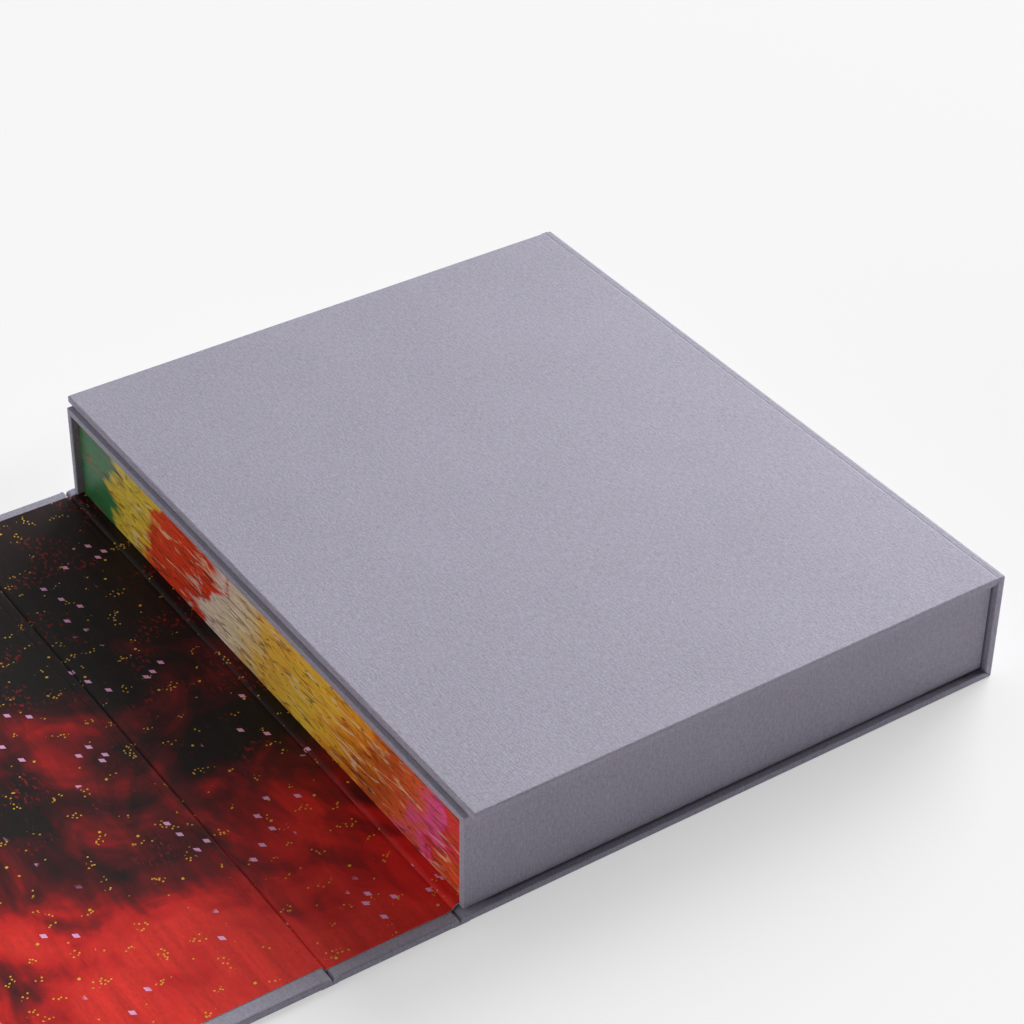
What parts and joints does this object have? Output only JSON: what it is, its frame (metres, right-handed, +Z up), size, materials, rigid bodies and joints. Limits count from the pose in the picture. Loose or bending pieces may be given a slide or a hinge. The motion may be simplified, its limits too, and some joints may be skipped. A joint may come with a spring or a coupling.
{
  "type": "hardcover book in a presentation case",
  "caption": "Large hardcover book resting in a cloth-covered slipcase whose wrap-around case lies open, with a hinged spine wall and front cover lined with printed paper.",
  "frame": {"origin": "centre of the underside of the closed part of the case, on the table", "axes": "+X from the book's spine to its fore edge, so the open spine wall and front cover lie towards -X; +Y from tail to head; +Z up"},
  "size_m": [0.6181, 0.34, 0.0558],
  "materials": {
    "book_cloth": "matte",
    "lining_paper": "satin",
    "cover_print": "satin",
    "endpaper": "matte",
    "pages": "matte",
    "band_cloth": "matte"
  },
  "bodies": {
    "box": {"bottom_board": "book_cloth", "top_board": "book_cloth", "fore_edge_board": "book_cloth", "fore_edge_groove_cloth": "book_cloth", "slipcase_tail_wall": "book_cloth", "slipcase_head_wall": "book_cloth", "slipcase_floor": "book_cloth", "slipcase_roof": "book_cloth", "slipcase_back_wall": "book_cloth", "slipcase_floor_paper": "lining_paper", "book_back_board": "cover_print", "book_front_board": "cover_print", "book_spine": "cover_print", "book_back_joint": "cover_print", "book_front_joint": "cover_print", "book_back_endpaper": "endpaper", "book_front_endpaper": "endpaper", "text_block": "pages", "spine_lining": "pages", "head_band": "band_cloth", "tail_band": "band_cloth", "spine_fold_cloth": "book_cloth"},
    "spine_wall": {"spine_wall_board": "book_cloth", "spine_wall_lining": "lining_paper", "cover_fold_cloth": "book_cloth"},
    "front_cover": {"front_cover_board": "book_cloth", "front_cover_lining": "lining_paper"}
  },
  "joints": [
    {"name": "spine_wall_hinge", "type": "hinge", "parent": "box", "child": "spine_wall", "pos_m": [-0.1417, 0, 0], "axis": [0, 1, 0], "range_deg": [0, 90]},
    {"name": "front_cover_hinge", "type": "hinge", "parent": "spine_wall", "child": "front_cover", "pos_m": [-0.20205, 0, 0], "axis": [0, 1, 0], "range_deg": [0, 90]}
  ]
}
